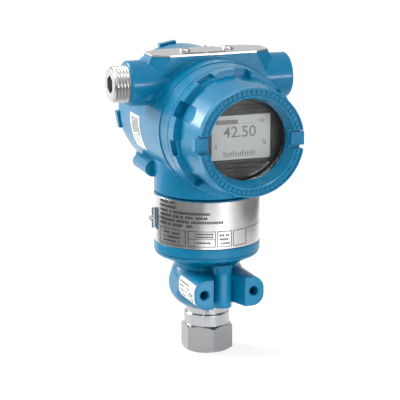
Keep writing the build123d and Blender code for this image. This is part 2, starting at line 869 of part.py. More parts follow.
# Tag plate: a long octagon of sheet steel with one round hole and one open arc slot
with BuildPart() as tag_plate:
    with BuildSketch(Plane.XY.offset(tag_bottom_height)):
        Polygon(*block_outline(block_half_length), align=None)
        offset(amount=-tag_inset)
        with Locations((-tag_screw_side, block_centre)):
            Circle(tag_screw_radius + tag_hole_play, mode=Mode.SUBTRACT)
        with BuildLine(mode=Mode.PRIVATE):
            slot_path = CenterArc((-tag_screw_side, block_centre), tag_screw_spacing, 0, tag_slot_sweep)
        SlotArc(slot_path, 2 * (tag_screw_radius + tag_hole_play), mode=Mode.SUBTRACT)
    extrude(amount=tag_thickness)
tag_plate.part.label = "tag_plate"
export_step(tag_plate.part, "parts/tag_plate.step")

# Tag screws, round heads with a cross slot
with BuildPart() as tag_screws:
    with BuildSketch(Plane.XY.offset(tag_top_height + tag_screw_play)):
        with Locations((0, block_centre)):
            with GridLocations(tag_screw_spacing, 1, 2, 1):
                Circle(tag_screw_radius)
    extrude(amount=-(tag_screw_length - tag_screw_depth + tag_thickness))
    with BuildSketch(Plane.XY.offset(tag_top_height + tag_screw_play)):
        with Locations((0, block_centre)):
            with GridLocations(tag_screw_spacing, 1, 2, 1):
                Circle(tag_screw_head_radius)
    extrude(amount=tag_screw_head_height)
    head_tops = tag_screws.edges().filter_by(GeomType.CIRCLE).group_by(Axis.Z)[-1]
    fillet(head_tops, tag_screw_head_round)
    with BuildSketch(Plane.XY.offset(tag_top_height + tag_screw_play + tag_screw_head_height)):
        with Locations((0, block_centre)):
            with GridLocations(tag_screw_spacing, 1, 2, 1):
                Rectangle(cross_slot_length, cross_slot_width)
                Rectangle(cross_slot_width, cross_slot_length)
    extrude(amount=-cross_slot_depth, mode=Mode.SUBTRACT)
tag_screws.part.label = "tag_screws"
export_step(tag_screws.part, "parts/tag_screws.step")

# Zero and span buttons with their springs, drawn at the length they have when pressed
for side, use in ((-1, "zero"), (1, "span")):
    with BuildPart() as button:
        with BuildSketch(Plane.XY.offset(button_foot_height)):
            with Locations((side * button_spacing / 2, block_centre)):
                Circle(button_radius)
        extrude(amount=button_length)
        chamfer(button.edges().filter_by(GeomType.CIRCLE).sort_by(Axis.Z)[-1], button_chamfer)
        with BuildSketch(Plane.XY.offset(button_top_height)):
            with Locations((side * button_spacing / 2, block_centre)):
                Rectangle(button_radius, cross_slot_width)
        extrude(amount=-cross_slot_depth, mode=Mode.SUBTRACT)
    button.part.label = f"{use}_button"
    export_step(button.part, f"parts/{use}_button.step")
    with BuildPart() as button_spring:
        for turn in range(button_spring_turns):
            level = button_floor_height + button_spring_wire + turn * button_spring_pitch
            with BuildSketch(Plane.XZ.offset(-block_centre)):
                with Locations((side * button_spacing / 2 + button_spring_radius, level)):
                    Circle(button_spring_wire)
            revolve(axis=Axis((side * button_spacing / 2, block_centre, 0), (0, 0, 1)))
    button_spring.part.label = f"{use}_spring"
    export_step(button_spring.part, f"parts/{use}_spring.step")

# Conduit plug: ridged thread outside the boss, hexagon socket in the face
with BuildPart() as conduit_plug:
    profile_plane = Plane((0, boss_axis_depth, boss_axis_height), x_dir=(1, 0, 0), z_dir=(0, -1, 0))
    ridges = []
    for ridge in range(plug_ridges):
        start = plug_face_chamfer - plug_face + ridge * plug_pitch
        ridges.append((start, plug_thread_radius - plug_groove))
        ridges.append((start + plug_groove, plug_thread_radius))
        ridges.append((start + plug_pitch - plug_groove, plug_thread_radius))
    last = plug_face_chamfer - plug_face + plug_ridges * plug_pitch
    with BuildSketch(profile_plane):
        with BuildLine():
            Polyline(
                (-plug_face, 0),
                (-plug_face, plug_thread_radius - plug_face_chamfer),
                *ridges,
                (last, plug_thread_radius - plug_groove),
                (last + plug_groove, plug_thread_radius),
                (plug_length - plug_face, plug_thread_radius),
                (plug_length - plug_face, 0),
                close=True,
            )
        make_face()
    revolve(axis=boss_axis)
    with BuildSketch(boss_plane.offset(-plug_face)):
        RegularPolygon(radius=plug_socket_flats / 2, side_count=6, major_radius=False, rotation=30)
    extrude(amount=plug_socket_depth, mode=Mode.SUBTRACT)
conduit_plug.part.label = "conduit_plug"
export_step(conduit_plug.part, "parts/conduit_plug.step")

# Ground screw and its washer at the rear end of the ground boss
ground_plane = Plane.XZ.offset(-ground_boss_rear)
with BuildPart() as ground_washer:
    with BuildSketch(ground_plane):
        with Locations((-ground_boss_side, ground_boss_height)):
            Circle(ground_washer_radius)
            Circle(ground_thread_radius + screw_fit, mode=Mode.SUBTRACT)
    extrude(amount=-ground_washer_thickness)
ground_washer.part.label = "ground_washer"
export_step(ground_washer.part, "parts/ground_washer.step")
with BuildPart() as ground_screw:
    with BuildSketch(ground_plane.offset(-ground_washer_thickness)):
        with Locations((-ground_boss_side, ground_boss_height)):
            Circle(ground_head_radius)
    extrude(amount=-ground_head_height)
    fillet(ground_screw.edges().filter_by(GeomType.CIRCLE).sort_by(Axis.Y)[-1], ground_head_round)
    with BuildSketch(ground_plane.offset(-ground_washer_thickness)):
        with Locations((-ground_boss_side, ground_boss_height)):
            Circle(ground_thread_radius)
    extrude(amount=ground_thread_length - body_gap)
    with BuildSketch(ground_plane.offset(-ground_washer_thickness - ground_head_height)):
        with Locations((-ground_boss_side, ground_boss_height)):
            Rectangle(2 * ground_head_radius, cross_slot_width)
    extrude(amount=cross_slot_depth, mode=Mode.SUBTRACT)
ground_screw.part.label = "ground_screw"
export_step(ground_screw.part, "parts/ground_screw.step")

# Set screw that stops the housing from turning on the module neck
with BuildPart() as rotation_set_screw:
    set_screw_plane = Plane.XZ.offset(-(module_neck_radius + set_screw_clear))
    with BuildSketch(set_screw_plane):
        with Locations((0, housing_foot_height + set_screw_height)):
            Circle(set_screw_radius)
    extrude(amount=-set_screw_length)
    with BuildSketch(set_screw_plane.offset(-set_screw_length)):
        with Locations((0, housing_foot_height + set_screw_height)):
            RegularPolygon(radius=set_screw_socket / 2, side_count=6, major_radius=False)
    extrude(amount=set_screw_socket_depth, mode=Mode.SUBTRACT)
rotation_set_screw.part.label = "rotation_set_screw"
export_step(rotation_set_screw.part, "parts/rotation_set_screw.step")

# Display cover: flange with ten notches, cone, and a front ring with two wrench ears
with BuildPart() as front_cover:
    seal_inner = barrel_axis_height + seal_centre_radius - seal_radius - seal_groove_play
    seal_outer = barrel_axis_height + seal_centre_radius + seal_radius + seal_groove_play
    with BuildSketch(Plane.YZ):
        with BuildLine():
            Polyline(
                (spigot_length - flange_rear, barrel_axis_height + cover_cavity_radius),
                (spigot_length - flange_rear, barrel_axis_height + cover_thread_radius - cover_edge),
                (spigot_length - flange_rear - cover_edge, barrel_axis_height + cover_thread_radius),
                (-flange_rear, barrel_axis_height + cover_thread_radius),
                (-flange_rear, seal_inner),
                (-flange_rear - seal_groove_depth, seal_inner),
                (-flange_rear - seal_groove_depth, seal_outer),
                (-flange_rear, seal_outer),
                (-flange_rear, barrel_axis_height + flange_radius - cover_edge),
                (-flange_rear - cover_edge, barrel_axis_height + flange_radius),
                (cover_edge - flange_front, barrel_axis_height + flange_radius),
                (-flange_front, barrel_axis_height + flange_radius - cover_edge),
                (-flange_front, barrel_axis_height + cone_root_radius),
                (-ring_rear, barrel_axis_height + cone_nose_radius),
                (-ring_rear, barrel_axis_height + cone_nose_radius - ring_relief),
                (-ring_rear - ring_relief_width, barrel_axis_height + cone_nose_radius - ring_relief),
                (-ring_rear - ring_relief_width, barrel_axis_height + ring_radius),
                (cover_edge - ring_front, barrel_axis_height + ring_radius),
                (-ring_front, barrel_axis_height + ring_radius - cover_edge),
                (-ring_front, barrel_axis_height + channel_outer),
                (channel_depth - ring_front, barrel_axis_height + channel_outer),
                (channel_depth - ring_front, barrel_axis_height + channel_inner),
                (-ring_front, barrel_axis_height + channel_inner),
                (-ring_front, barrel_axis_height + ring_bore_radius + cover_edge),
                (cover_edge - ring_front, barrel_axis_height + ring_bore_radius),
                (-window_plane, barrel_axis_height + window_radius),
                (-window_plane, barrel_axis_height + glass_radius + screw_fit),
                (-retainer_rear, barrel_axis_height + glass_radius + screw_fit),
                (-retainer_rear, barrel_axis_height + cover_cavity_radius),
                close=True,
            )
        make_face()
    revolve(axis=barrel_axis)
    # Notches round the flange; every other one is deeper and runs out along the cone
    with BuildSketch(mouth_plane.offset(notch_rear)):
        with PolarLocations(notch_floor + ring_radius, notch_count, start_angle=notch_first):
            Rectangle(2 * ring_radius, notch_width)
    extrude(amount=flange_front - notch_rear + body_gap, mode=Mode.SUBTRACT)
    with BuildSketch(mouth_plane.offset(notch_rear)):
        with PolarLocations(pocket_floor + ring_radius, notch_count // 2, start_angle=notch_first):
            Rectangle(2 * ring_radius, notch_width)
    extrude(amount=pocket_reach - notch_rear, mode=Mode.SUBTRACT)
    # Grip ribs in the channel of the front ring
    rib_step = (180 - 2 * rib_free_angle) / (ribs_each_side - 1)
    rib_angles = [rib_free_angle + rib_step * index for index in range(ribs_each_side)]
    with BuildSketch(mouth_plane.offset(ring_front - channel_depth)):
        for angle in rib_angles + [180 + angle for angle in rib_angles]:
            with PolarLocations((channel_inner + channel_outer) / 2, 1, start_angle=angle):
                Rectangle(rib_length, rib_width)
    extrude(amount=rib_height)
    # Wrench ears: a gap through the ring with a square ear set back in it
    ear_floor = ring_front - ear_set_back - ear_floor_step
    with BuildSketch(mouth_plane.offset(ear_floor)):
        with GridLocations(2 * ring_radius, 1, 2, 1):
            Rectangle(2 * (ring_radius - window_radius + body_gap), ear_gap)
    extrude(amount=ring_front - ear_floor + body_gap, mode=Mode.SUBTRACT)
    with BuildSketch(mouth_plane.offset(ring_front - ear_set_back)):
        with GridLocations(ear_inner + ear_reach, 1, 2, 1):
            Rectangle(ear_reach - ear_inner, ear_width)
    extrude(amount=-ear_length)
front_cover.part.label = "front_cover"
export_step(front_cover.part, "parts/front_cover.step")

# Window glass, a thick disc dropped in from behind
with BuildPart() as window_glass:
    with BuildSketch(mouth_plane.offset(glass_rear)):
        Circle(glass_radius)
    extrude(amount=glass_thickness)
    chamfer(window_glass.edges().filter_by(GeomType.CIRCLE), glass_chamfer)
window_glass.part.label = "window_glass"
export_step(window_glass.part, "parts/window_glass.step")

# Retaining ring behind the glass
with BuildPart() as glass_retainer:
    with BuildSketch(mouth_plane.offset(retainer_rear)):
        Circle(glass_radius)
        Circle(retainer_inner, mode=Mode.SUBTRACT)
    extrude(amount=retainer_thickness)
glass_retainer.part.label = "glass_retainer"
export_step(glass_retainer.part, "parts/glass_retainer.step")

# Seal rings under the two cover flanges
for name, depth in (
    ("front_cover_seal", -flange_rear - seal_groove_depth + seal_radius + running_fit),
    ("rear_cover_seal", rear_flange_front + seal_groove_depth - seal_radius - running_fit),
):
    with BuildPart() as cover_seal:
        with BuildSketch(Plane.YZ):
            with Locations((depth, barrel_axis_height + seal_centre_radius)):
                Circle(seal_radius)
        revolve(axis=barrel_axis)
    cover_seal.part.label = name
    export_step(cover_seal.part, f"parts/{name}.step")

# Electronics can against the bulkhead, and the round board on it
with BuildPart() as electronics_can:
    with BuildSketch(mouth_plane.offset(bulkhead_front)):
        Circle(can_radius)
    extrude(amount=can_front - bulkhead_front)
    fillet(electronics_can.edges().filter_by(GeomType.CIRCLE).sort_by(Axis.Y)[0], can_round)
electronics_can.part.label = "electronics_can"
export_step(electronics_can.part, "parts/electronics_can.step")
with BuildPart() as display_board:
    with BuildSketch(mouth_plane.offset(can_front)):
        Circle(board_radius)
    extrude(amount=board_thickness)
display_board.part.label = "display_board"
export_step(display_board.part, "parts/display_board.step")

# Display bezel: a round moulding with the screen recess and horizontal ridges
display_rear = can_front + board_thickness
with BuildPart() as display_bezel:
    with BuildSketch(mouth_plane.offset(display_rear)):
        Circle(display_radius)
    extrude(amount=display_front - display_rear)
    fillet(display_bezel.edges().filter_by(GeomType.CIRCLE).sort_by(Axis.Y)[0], can_round)
    with BuildSketch(mouth_plane.offset(display_front)):
        Rectangle(display_screen_width, display_screen_height)
    extrude(amount=-bezel_lip, mode=Mode.SUBTRACT)
    with BuildSketch(mouth_plane.offset(display_front)):
        for height in bezel_ridge_offsets:
            ridge_length = 2 * sqrt(bezel_ridge_reach**2 - height**2)
            with Locations((0, -height), (0, height)):
                Rectangle(ridge_length, bezel_ridge_width)
    extrude(amount=bezel_ridge_height)
display_bezel.part.label = "display_bezel"
export_step(display_bezel.part, "parts/display_bezel.step")

# Display screen in the recess of the bezel
with BuildPart() as display_screen:
    with BuildSketch(mouth_plane.offset(display_front - bezel_lip)):
        RectangleRounded(
            display_screen_width - 2 * screen_play,
            display_screen_height - 2 * screen_play,
            screen_corner,
        )
    extrude(amount=screen_thickness)
display_screen.part.label = "display_screen"
export_step(display_screen.part, "parts/display_screen.step")

# Terminal block in the rear compartment with its three terminals
terminal_rear = terminal_depth - bulkhead_rear
terminal_offsets = (-terminal_pitch, 0, terminal_pitch)
terminal_local_height = terminal_screw_height - barrel_axis_height
with BuildPart() as terminal_block:
    with BuildSketch(back_plane.offset(-bulkhead_rear)):
        Circle(terminal_radius)
        with Locations((0, terminal_top - barrel_axis_height)):
            Rectangle(
                2 * terminal_radius,
                2 * terminal_radius,
                align=(Align.CENTER, Align.MIN),
                mode=Mode.SUBTRACT,
            )
    extrude(amount=terminal_depth)
    with BuildSketch(back_plane.offset(terminal_rear)):
        for offset_along in terminal_offsets:
            with Locations((offset_along, terminal_local_height)):
                Rectangle(terminal_pocket_width, terminal_pocket_height)
    extrude(amount=-terminal_pocket_depth, mode=Mode.SUBTRACT)
    with BuildSketch(back_plane.offset(terminal_rear - terminal_pocket_depth)):
        for offset_along in terminal_offsets:
            with Locations((offset_along, terminal_local_height)):
                Circle(terminal_thread_radius + screw_fit)
    extrude(amount=-terminal_thread_length, mode=Mode.SUBTRACT)
terminal_block.part.label = "terminal_block"
export_step(terminal_block.part, "parts/terminal_block.step")

# Terminal screws and the inner ground screw, all of one pattern
screw_places = {
    "terminal_screws": (
        [(offset_along, terminal_local_height) for offset_along in terminal_offsets],
        terminal_rear - terminal_pocket_depth,
        terminal_thread_length,
    ),
    "inner_ground_screw": (
        [(-inner_ground_side, inner_ground_height - barrel_axis_height)],
        -bulkhead_rear,
        inner_ground_length,
    ),
}
for name, (places, seat, thread_length) in screw_places.items():
    with BuildPart() as screws:
        with BuildSketch(back_plane.offset(seat)):
            with Locations(*places):
                Circle(terminal_head_radius)
        extrude(amount=terminal_head_height)
        fillet(screws.edges().filter_by(GeomType.CIRCLE).group_by(Axis.Y)[-1], terminal_head_round)
        with BuildSketch(back_plane.offset(seat)):
            with Locations(*places):
                Circle(terminal_thread_radius)
        extrude(amount=screw_fit - thread_length)
        with BuildSketch(back_plane.offset(seat + terminal_head_height)):
            with Locations(*places):
                Rectangle(2 * terminal_head_radius, cross_slot_width)
        extrude(amount=-cross_slot_depth, mode=Mode.SUBTRACT)
    screws.part.label = name
    export_step(screws.part, f"parts/{name}.step")

# Rear cover: flange with eight lugs, low dome and a dished face with two wrench slots
with BuildPart() as rear_cover:
    with BuildSketch(Plane.YZ):
        with BuildLine():
            Polyline(
                (rear_flange_front - spigot_length, barrel_axis_height + cover_cavity_radius),
                (rear_flange_front - spigot_length, barrel_axis_height + cover_thread_radius - cover_edge),
                (rear_flange_front - spigot_length + cover_edge, barrel_axis_height + cover_thread_radius),
                (rear_flange_front, barrel_axis_height + cover_thread_radius),
                (rear_flange_front, seal_inner),
                (rear_flange_front + seal_groove_depth, seal_inner),
                (rear_flange_front + seal_groove_depth, seal_outer),
                (rear_flange_front, seal_outer),
                (rear_flange_front, barrel_axis_height + rear_flange_radius - cover_edge),
                (rear_flange_front + cover_edge, barrel_axis_height + rear_flange_radius),
                (rear_flange_rear - cover_edge, barrel_axis_height + rear_flange_radius),
                (rear_flange_rear, barrel_axis_height + rear_flange_radius - cover_edge),
                (rear_flange_rear, barrel_axis_height + rear_dome_radius),
                (rear_face - 2 * cover_edge, barrel_axis_height + rear_dome_radius - cover_edge),
                (rear_face, barrel_axis_height + rear_dome_radius - 3 * cover_edge),
                (rear_face, barrel_axis_height + rear_dish_radius + cover_edge),
                (rear_face - rear_dish_depth, barrel_axis_height + rear_dish_radius),
                (rear_face - rear_dish_depth, barrel_axis_height),
                (rear_face - rear_dish_depth - rear_wall, barrel_axis_height),
                (rear_face - rear_dish_depth - rear_wall, barrel_axis_height + cover_cavity_radius),
                close=True,
            )
        make_face()
    revolve(axis=barrel_axis)
    with BuildSketch(back_plane.offset(rear_flange_rear)):
        with PolarLocations(
            rear_lug_radius - rear_lug_thickness / 2, rear_lug_count, start_angle=rear_lug_first
        ):
            Rectangle(rear_lug_thickness, rear_lug_width)
    extrude(amount=-rear_lug_length)
    with BuildSketch(back_plane.offset(rear_face)):
        with GridLocations(rear_dish_radius + rear_dome_radius, 1, 2, 1):
            Rectangle(2 * (rear_dome_radius - rear_dish_radius), rear_ear_width)
    extrude(amount=-rear_ear_set_back, mode=Mode.SUBTRACT)
rear_cover.part.label = "rear_cover"
export_step(rear_cover.part, "parts/rear_cover.step")
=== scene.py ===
import bpy
import bmesh
import random
from math import cos, radians, sin, sqrt
from mathutils import Matrix, Vector


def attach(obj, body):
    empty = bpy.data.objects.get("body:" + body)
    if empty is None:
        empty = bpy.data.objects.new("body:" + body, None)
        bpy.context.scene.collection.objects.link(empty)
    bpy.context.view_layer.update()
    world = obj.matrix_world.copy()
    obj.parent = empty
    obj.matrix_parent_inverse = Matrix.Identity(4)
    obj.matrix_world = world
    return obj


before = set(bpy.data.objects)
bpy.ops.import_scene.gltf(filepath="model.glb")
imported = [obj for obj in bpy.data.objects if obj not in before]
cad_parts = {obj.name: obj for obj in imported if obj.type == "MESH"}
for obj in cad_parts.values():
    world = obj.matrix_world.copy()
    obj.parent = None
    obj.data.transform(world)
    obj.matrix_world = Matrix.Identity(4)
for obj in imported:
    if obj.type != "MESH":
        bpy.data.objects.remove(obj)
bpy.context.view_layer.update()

scene = bpy.context.scene
scene.view_settings.view_transform = "Standard"

# Camera.
# A long lens a little above the transmitter and twenty degrees round to its left.
# The small shift sets the transmitter in the picture as the photograph does.


def face_towards(piece, place, target):
    piece.location = place
    piece.rotation_euler = (Vector(target) - Vector(place)).to_track_quat("-Z", "Y").to_euler()


lens = bpy.data.cameras.new("camera")
lens.sensor_width = 36
lens.lens = 188.28
lens.shift_x = -0.0169
lens.shift_y = -0.0463
camera = bpy.data.objects.new("camera", lens)
face_towards(camera, place=(-0.4050, -1.1157, 0.3642), target=(0, 0, 0.1))
scene.collection.objects.link(camera)
scene.camera = camera

# Studio.
# A pale floor that keeps the soft shadow, a white room, five softboxes and seven grey cards.
# Floor and room look white to the camera, in gloss and through glass. The camera sees no card.
plain_white = (1, 1, 1)
warm_white = (1, 0.99, 0.98)
floor_reach = 6
floor_glow = 1.32
floor_glow_share = 0.6
card_height = 0.002
head_middle = (0, 0, 0.11)
foot_middle = (0, 0, 0.035)


def set_inputs(owner, step, inputs):
    for name, value in inputs.items():
        if isinstance(value, bpy.types.NodeSocket):
            owner.node_tree.links.new(value, step.inputs[name])
        else:
            step.inputs[name].default_value = value


def add_step(owner, kind, inputs, **settings):
    step = owner.node_tree.nodes.new("ShaderNode" + kind)
    for name, value in settings.items():
        setattr(step, name, value)
    set_inputs(owner, step, inputs)
    return step


def seen_rays(owner):
    rays = add_step(owner, "LightPath", {})
    bounced = {0: rays.outputs["Is Glossy Ray"], 1: rays.outputs["Is Transmission Ray"]}
    gloss = add_step(owner, "Math", bounced, operation="MAXIMUM")
    direct = {0: rays.outputs["Is Camera Ray"], 1: gloss.outputs[0]}
    seen = add_step(owner, "Math", direct, operation="MAXIMUM")
    return seen.outputs[0]


def mix_surface(owner, output, share, usual, other):
    mix = add_step(owner, "MixShader", {0: share, 1: usual.outputs[0], 2: other.outputs[0]})
    set_inputs(owner, owner.node_tree.nodes[output], {"Surface": mix.outputs[0]})


def stage_sheet(name, reach):
    sheet_mesh = bpy.data.meshes.new(name)
    sheet_shape = bmesh.new()
    bmesh.ops.create_grid(sheet_shape, x_segments=1, y_segments=1, size=reach)
    sheet_shape.to_mesh(sheet_mesh)
    sheet_shape.free()
    sheet = bpy.data.objects.new(name, sheet_mesh)
    scene.collection.objects.link(sheet)
    finish = bpy.data.materials.new(name)
    finish.use_nodes = True
    sheet_mesh.materials.append(finish)
    return sheet


def softbox(name, place, width, height, power, tint=plain_white, target=head_middle):
    lamp = bpy.data.lights.new(name, "AREA")
    lamp.shape = "RECTANGLE"
    lamp.size = width
    lamp.size_y = height
    lamp.energy = power
    lamp.color = tint
    stand = bpy.data.objects.new(name, lamp)
    face_towards(stand, place, target)
    scene.collection.objects.link(stand)
    return stand


def grey_card(name, place, reach, shade, target=head_middle):
    card = stage_sheet(name, reach)
    face_towards(card, place, target)
    card.visible_camera = False
    card.visible_diffuse = False
    card.visible_shadow = False
    finish = card.active_material
    glow = add_step(finish, "Emission", {"Color": (shade, shade, shade, 1)})
    set_inputs(finish, finish.node_tree.nodes["Material Output"], {"Surface": glow.outputs[0]})


def lying_card(name, x, y, reach, shade):
    grey_card(name, (x, y, card_height), reach, shade, target=(x, y, 1))


room = bpy.data.worlds.new("white_room")
scene.world = room
room.use_nodes = True
room_light = room.node_tree.nodes["Background"]
set_inputs(room, room_light, {"Color": (0.93, 0.97, 1, 1), "Strength": 0.3})
room_white = add_step(room, "Background", {"Color": (1, 1, 1, 1), "Strength": 1})
mix_surface(room, "World Output", seen_rays(room), room_light, room_white)

floor_finish = stage_sheet("floor", floor_reach).active_material
floor_paper = floor_finish.node_tree.nodes["Principled BSDF"]
paper_inputs = {"Base Color": (0.9, 0.9, 0.9, 1), "Roughness": 0.6, "Specular IOR Level": 0.2}
set_inputs(floor_finish, floor_paper, paper_inputs)
floor_white = add_step(floor_finish, "Emission", {"Strength": floor_glow})
floor_share = add_step(
    floor_finish, "Math", {0: seen_rays(floor_finish), 1: floor_glow_share}, operation="MULTIPLY"
)
mix_surface(floor_finish, "Material Output", floor_share.outputs[0], floor_paper, floor_white)

softbox("left_softbox", (-1.0, 0.95, 0.75), width=0.62, height=0.9, power=28, tint=warm_white)
softbox("top_softbox", (-0.2, -0.5, 1.4), width=0.55, height=0.4, power=10, tint=warm_white)
softbox("left_strip", (-1.0, -1.3, 0.6), width=0.18, height=0.9, power=3.5)
softbox("front_softbox", (0.4, -1.3, 0.14), width=0.5, height=0.25, power=6.2)
low_fill = softbox(
    "low_fill", (-0.01, -0.14, 0.017), width=0.12, height=0.024, power=0.032, target=foot_middle
)
low_fill.visible_camera = False
grey_card("front_card", (-0.9, -1.8, 0.6), reach=0.9, shade=0.2)
lying_card("left_low_card", -1.35, -0.9, reach=1.2, shade=0.22)
lying_card("foot_card", -0.042, -0.115, reach=0.028, shade=0.08)
lying_card("front_low_card", 0.45, -1.05, reach=0.6, shade=0.25)
lying_card("right_low_card", 0.95, 0.2, reach=0.65, shade=0.15)
grey_card("right_card", (1.5, -0.7, 0.5), reach=0.8, shade=0.15)
grey_card("back_card", (0.5, 1.35, 0.95), reach=0.65, shade=0.75)

# Process connection.
# One bar of stainless steel: the hexagon is milled, the collar and the neck above it are turned.
# The turning leaves fine rings round the process axis. The hexagon at the foot is painted a little
# darker: painted shade near the floor.
milled_top = 0.0158
turned_foot = 0.0161
hexagon_shade_tone = 0.73
unshaded_tone = 1.0
turned_rings = (30, 30, 3600)


def new_finish(name):
    finish = bpy.data.materials.new(name)
    finish.use_nodes = True
    place = add_step(finish, "TexCoord", {})
    return finish, finish.node_tree.nodes["Principled BSDF"], place.outputs["Object"]


def mottle(finish, place, scale, detail, roughness=0.5):
    inputs = {"Vector": place, "Scale": scale, "Detail": detail, "Roughness": roughness}
    return add_step(finish, "TexNoise", inputs).outputs[0]


def map_range(finish, value, span, to):
    inputs = {"Value": value}
    inputs["From Min"], inputs["From Max"] = span
    inputs["To Min"], inputs["To Max"] = to
    return add_step(finish, "MapRange", inputs).outputs[0]


def scale_tone(finish, colour, tone):
    inputs = {0: colour, "Scale": tone}
    return add_step(finish, "VectorMath", inputs, operation="SCALE").outputs[0]


def soft_edge(finish, radius, samples):
    return add_step(finish, "Bevel", {"Radius": radius}, samples=samples).outputs[0]


def relief(finish, height, strength, distance, normal=None):
    inputs = {"Height": height, "Strength": strength, "Distance": distance}
    if normal is not None:
        inputs["Normal"] = normal
    return add_step(finish, "Bump", inputs).outputs[0]


def machined_steel(name, colour, roughness, stretch, depth, edge_radius=0.00025):
    finish, shader, place = new_finish(name)
    drawn = add_step(finish, "Mapping", {"Vector": place, "Scale": stretch})
    lines = mottle(finish, drawn.outputs[0], scale=1.0, detail=5.0, roughness=0.7)
    clouds = mottle(finish, place, scale=90.0, detail=3.0)
    tone = map_range(finish, lines, span=(0.25, 0.75), to=(0.9, 1.08))
    dullness = (roughness - 0.05, roughness + 0.05)
    edge = soft_edge(finish, edge_radius, samples=4)
    inputs = {
        "Base Color": scale_tone(finish, colour, tone),
        "Roughness": map_range(finish, clouds, span=(0.3, 0.7), to=dullness),
        "Normal": relief(finish, lines, strength=depth, distance=0.0001, normal=edge),
        "Metallic": 1,
    }
    set_inputs(finish, shader, inputs)
    return finish


def dress(finish, *nodes):
    for node in nodes:
        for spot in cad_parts[node].material_slots:
            spot.material = finish


connection_steel = machined_steel(
    "connection_steel",
    (0.45, 0.45, 0.46),
    roughness=0.13,
    stretch=turned_rings,
    depth=0.08,
    edge_radius=0.0007,
)
connection_shader = connection_steel.node_tree.nodes["Principled BSDF"]
turned_colour = connection_shader.inputs["Base Color"].links[0].from_socket
# Painted shade: below the hexagon's top the steel colour is darkened, as shade near the floor.
bar_place = add_step(connection_steel, "TexCoord", {})
bar_height = add_step(connection_steel, "SeparateXYZ", {"Vector": bar_place.outputs["Object"]})
bar_shade_tone = map_range(
    connection_steel,
    bar_height.outputs["Z"],
    span=(milled_top, turned_foot),
    to=(hexagon_shade_tone, unshaded_tone),
)
bar_colour = scale_tone(connection_steel, turned_colour, bar_shade_tone)
set_inputs(connection_steel, connection_shader, {"Base Color": bar_colour})
dress(connection_steel, "process_connection")

# Isolating diaphragm and sensor cell.
# A thin pressed disc of steel and the turned cell behind it, seen only through the process hole.
diaphragm_steel = machined_steel(
    "diaphragm_steel", (0.66, 0.66, 0.67), roughness=0.18, stretch=(900, 900, 900), depth=0.05
)
turned_steel = machined_steel(
    "turned_steel", (0.47, 0.47, 0.475), roughness=0.27, stretch=turned_rings, depth=0.14
)
dress(diaphragm_steel, "isolating_diaphragm")
dress(turned_steel, "sensor_cell")

# Sensor casting.
# Cast steel with a blue powder coat: soft edges, a faint orange peel and small changes of tone.
# The same paint is on the housing and on both covers, each mixed for its own casting.


def powder_coat(name, colour, roughness, edge_radius):
    finish, shader, place = new_finish(name)
    clouds = mottle(finish, place, scale=55.0, detail=4.0, roughness=0.6)
    peel = mottle(finish, place, scale=520.0, detail=2.0)
    grain = mottle(finish, place, scale=2600.0, detail=2.0)
    tone = map_range(finish, clouds, span=(0.3, 0.7), to=(0.93, 1.07))
    speckle = map_range(finish, grain, span=(0.35, 0.65), to=(0.96, 1.04))
    shade = add_step(finish, "Math", {0: tone, 1: speckle}, operation="MULTIPLY")
    dullness = (roughness - 0.04, roughness + 0.06)
    edge = soft_edge(finish, edge_radius, samples=6)
    orange_peel = relief(finish, peel, strength=0.12, distance=0.0002, normal=edge)
    inputs = {
        "Base Color": scale_tone(finish, colour, shade.outputs[0]),
        "Roughness": map_range(finish, clouds, span=(0.3, 0.7), to=dullness),
        "Normal": relief(finish, grain, strength=0.1, distance=0.00005, normal=orange_peel),
        "Specular IOR Level": 0.2,
        "Coat Weight": 0.18,
        "Coat Roughness": 0.08,
    }
    set_inputs(finish, shader, inputs)
    return finish


casting_paint = powder_coat(
    "casting_paint", (0.0, 0.169, 0.324), roughness=0.28, edge_radius=0.0018
)
dress(casting_paint, "sensor_casting")

# Sensor board inside the drum.
# A round glass-fibre board with a green solder mask over its fine copper tracks.
green_board, board_shader, board_place = new_finish("green_board")
track_inputs = {
    "Vector": board_place,
    "Color1": (0.02, 0.14, 0.06, 1),
    "Color2": (0.032, 0.182, 0.09, 1),
    "Mortar": (0.06, 0.252, 0.12, 1),
    "Scale": 400.0,
    "Mortar Size": 0.05,
}
board_tracks = add_step(green_board, "TexBrick", track_inputs, offset=0.5)
board_inputs = {
    "Base Color": board_tracks.outputs["Color"],
    "Normal": relief(green_board, board_tracks.outputs["Fac"], strength=0.2, distance=0.0001),
    "Roughness": 0.4,
}
set_inputs(green_board, board_shader, board_inputs)
dress(green_board, "sensor_board")

# Module neck and its seal ring.
# A turned steel neck, threaded to carry the housing, and a black rubber ring in its groove.
rubber_black = (0.012, 0.012, 0.013)
rubber_grey = (0.035, 0.035, 0.037)


def two_tones(finish, value, dark, light):
    ramp = add_step(finish, "ValToRGB", {"Fac": value})
    ramp.color_ramp.elements[0].color = (*dark, 1)
    ramp.color_ramp.elements[1].color = (*light, 1)
    return ramp.outputs[0]


seal_rubber, rubber_shader, rubber_place = new_finish("seal_rubber")
rubber_bloom = mottle(seal_rubber, rubber_place, scale=300.0, detail=4.0)
rubber_inputs = {
    "Base Color": two_tones(seal_rubber, rubber_bloom, rubber_black, rubber_grey),
    "Roughness": map_range(seal_rubber, rubber_bloom, span=(0.3, 0.7), to=(0.5, 0.75)),
}
set_inputs(seal_rubber, rubber_shader, rubber_inputs)
dress(turned_steel, "module_neck")
dress(seal_rubber, "neck_seal")

# Nameplate band.
# Brushed sheet steel wrapped round the drum, drawn tight by a small screw through its curled tab.
# Its print is plain: rows of short bars and a ruled table, laid just proud of the steel.
mm_in_metre = 1000
band_radius = 31.0

